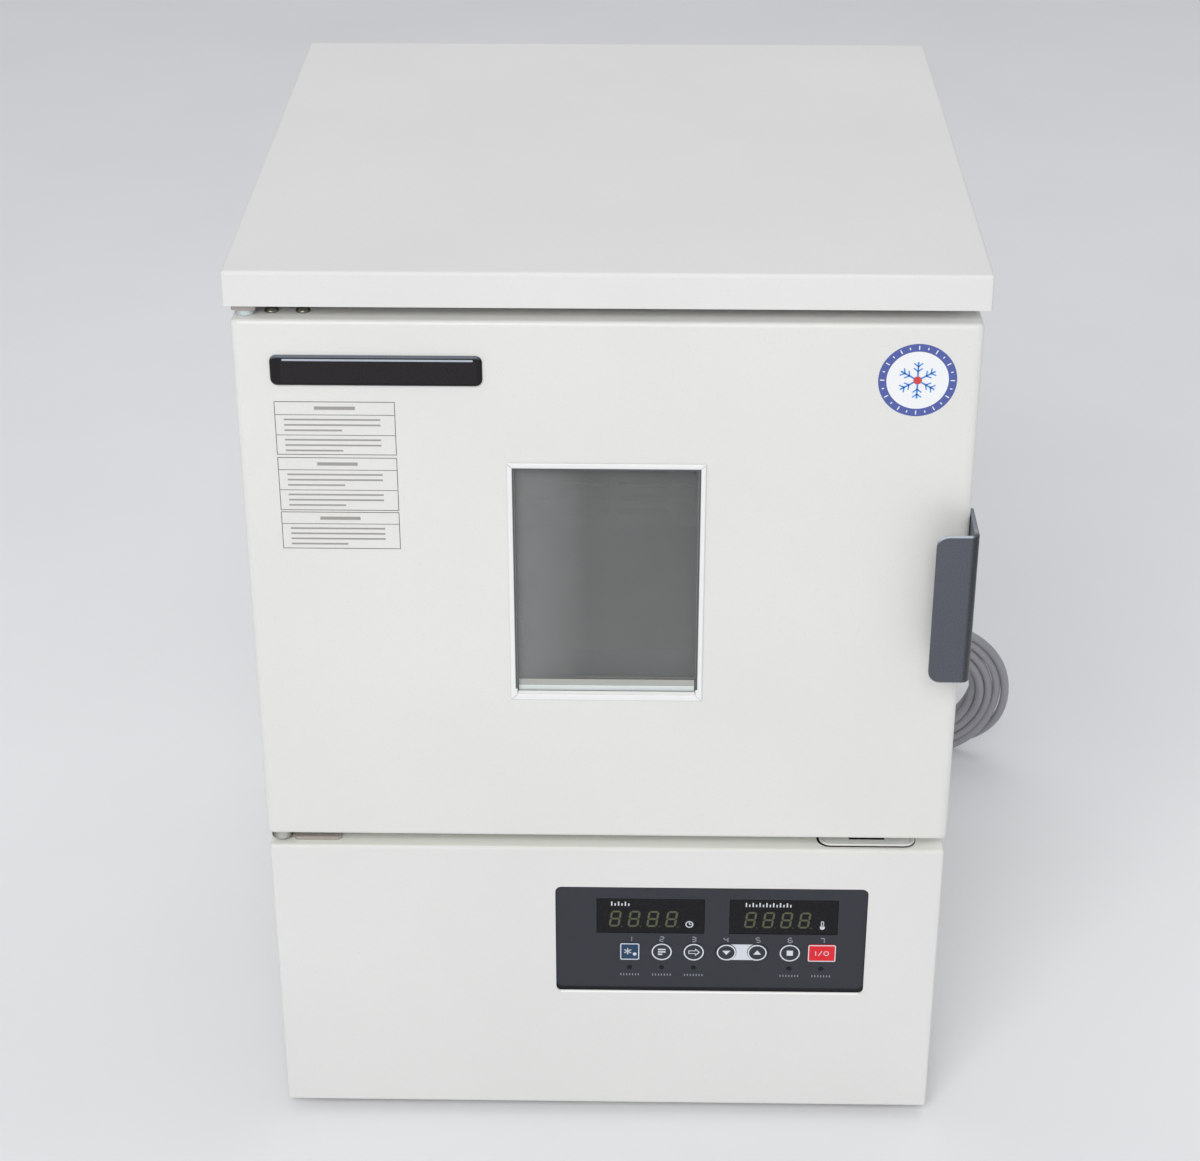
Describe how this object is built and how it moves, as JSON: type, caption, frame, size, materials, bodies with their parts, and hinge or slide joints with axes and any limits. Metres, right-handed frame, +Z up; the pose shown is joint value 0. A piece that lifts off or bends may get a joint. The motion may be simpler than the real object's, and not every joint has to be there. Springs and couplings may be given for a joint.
{
  "type": "refrigerated incubator",
  "caption": "Bench-top refrigerated incubator: a white cabinet with a hinged door and small window over a control panel and cooling unit.",
  "frame": {"origin": "on the floor under the middle of the cabinet's bounding box, cord left out", "axes": "+Z up, the door faces -Y, +X towards the handle's side"},
  "size_m": [0.5641, 0.6092, 0.6331],
  "materials": {
    "body_paint": "satin",
    "white_plastic": "satin",
    "handle_coating": "satin",
    "overlay": "satin",
    "key_blue": "satin",
    "key_red": "satin",
    "display_lens": "gloss",
    "circuit_board": "matte",
    "galvanised_steel": "satin",
    "stainless_steel": "satin",
    "light_aluminium": "satin",
    "clear_glass": "gloss",
    "foam": "matte",
    "seal_rubber": "matte",
    "black_rubber": "matte",
    "black_plastic": "satin",
    "black_enamel": "satin",
    "copper_tube": "satin",
    "cord_jacket": "satin"
  },
  "bodies": {
    "cabinet": {"outer_case": "body_paint", "top_panel": "body_paint", "lower_front_panel": "body_paint", "rear_cover": "body_paint", "ledge_cap": "white_plastic", "breaker_frame": "white_plastic", "control_bezel": "overlay", "timer_display": "display_lens", "temperature_display": "display_lens", "control_board": "circuit_board", "base_pan": "galvanised_steel", "machine_deck": "galvanised_steel", "top_hinge_bracket": "galvanised_steel", "bottom_hinge_bracket": "galvanised_steel", "condenser_frame": "galvanised_steel", "circulation_fan_motor": "galvanised_steel", "condenser_fan_motor": "galvanised_steel", "inner_chamber": "stainless_steel", "air_duct_panel": "stainless_steel", "shelf_rail_left": "stainless_steel", "shelf_rail_right": "stainless_steel", "wire_shelf": "stainless_steel", "temperature_probe": "stainless_steel", "heater_element": "stainless_steel", "evaporator_plate": "light_aluminium", "evaporator_tube": "light_aluminium", "insulation_foam": "foam", "foot_front_left": "black_rubber", "foot_front_right": "black_rubber", "foot_rear_left": "black_rubber", "foot_rear_right": "black_rubber", "condenser_fan_shroud": "black_plastic", "cord_gland": "black_plastic", "power_plug": "black_plastic", "compressor": "black_enamel", "condenser_coil": "copper_tube", "cord_lead": "cord_jacket", "cord_coil": "cord_jacket", "cord_tail": "cord_jacket"},
    "door": {"door_shell": "body_paint", "door_liner": "white_plastic", "door_insulation": "foam", "window_frame": "light_aluminium", "outer_glass": "clear_glass", "glazing_spacer": "light_aluminium", "inner_glass": "clear_glass", "door_gasket": "seal_rubber", "door_handle": "handle_coating", "top_hinge_bush": "white_plastic", "bottom_hinge_bush": "galvanised_steel"},
    "circulation_fan": {"circulation_fan": "black_plastic"},
    "condenser_fan": {"condenser_fan": "black_plastic"},
    "key_defrost": {"key_defrost": "key_blue"},
    "key_program": {"key_program": "overlay"},
    "key_shift": {"key_shift": "overlay"},
    "key_down": {"key_down": "overlay"},
    "key_up": {"key_up": "overlay"},
    "key_set": {"key_set": "overlay"},
    "key_power": {"key_power": "key_red"}
  },
  "joints": [
    {"name": "door_swing", "type": "hinge", "parent": "cabinet", "child": "door", "pos_m": [-0.217, -0.2061, 0.2343], "axis": [0, 0, -1], "range_deg": [0, 120]},
    {"name": "circulation_fan_spin", "type": "hinge", "parent": "cabinet", "child": "circulation_fan", "pos_m": [0, 0.1699, 0.5068], "axis": [0, 1, 0], "continuous": true},
    {"name": "condenser_fan_spin", "type": "hinge", "parent": "cabinet", "child": "condenser_fan", "pos_m": [0.1, 0.1256, 0.11], "axis": [0, 1, 0], "continuous": true},
    {"name": "key_defrost_press", "type": "slide", "parent": "cabinet", "child": "key_defrost", "axis": [0, 1, 0], "range_m": [0, 0.0005], "stiffness_N_per_m": 800},
    {"name": "key_program_press", "type": "slide", "parent": "cabinet", "child": "key_program", "axis": [0, 1, 0], "range_m": [0, 0.0005], "stiffness_N_per_m": 800},
    {"name": "key_shift_press", "type": "slide", "parent": "cabinet", "child": "key_shift", "axis": [0, 1, 0], "range_m": [0, 0.0005], "stiffness_N_per_m": 800},
    {"name": "key_down_press", "type": "slide", "parent": "cabinet", "child": "key_down", "axis": [0, 1, 0], "range_m": [0, 0.0005], "stiffness_N_per_m": 800},
    {"name": "key_up_press", "type": "slide", "parent": "cabinet", "child": "key_up", "axis": [0, 1, 0], "range_m": [0, 0.0005], "stiffness_N_per_m": 800},
    {"name": "key_set_press", "type": "slide", "parent": "cabinet", "child": "key_set", "axis": [0, 1, 0], "range_m": [0, 0.0005], "stiffness_N_per_m": 800},
    {"name": "key_power_press", "type": "slide", "parent": "cabinet", "child": "key_power", "axis": [0, 1, 0], "range_m": [0, 0.0005], "stiffness_N_per_m": 800}
  ]
}
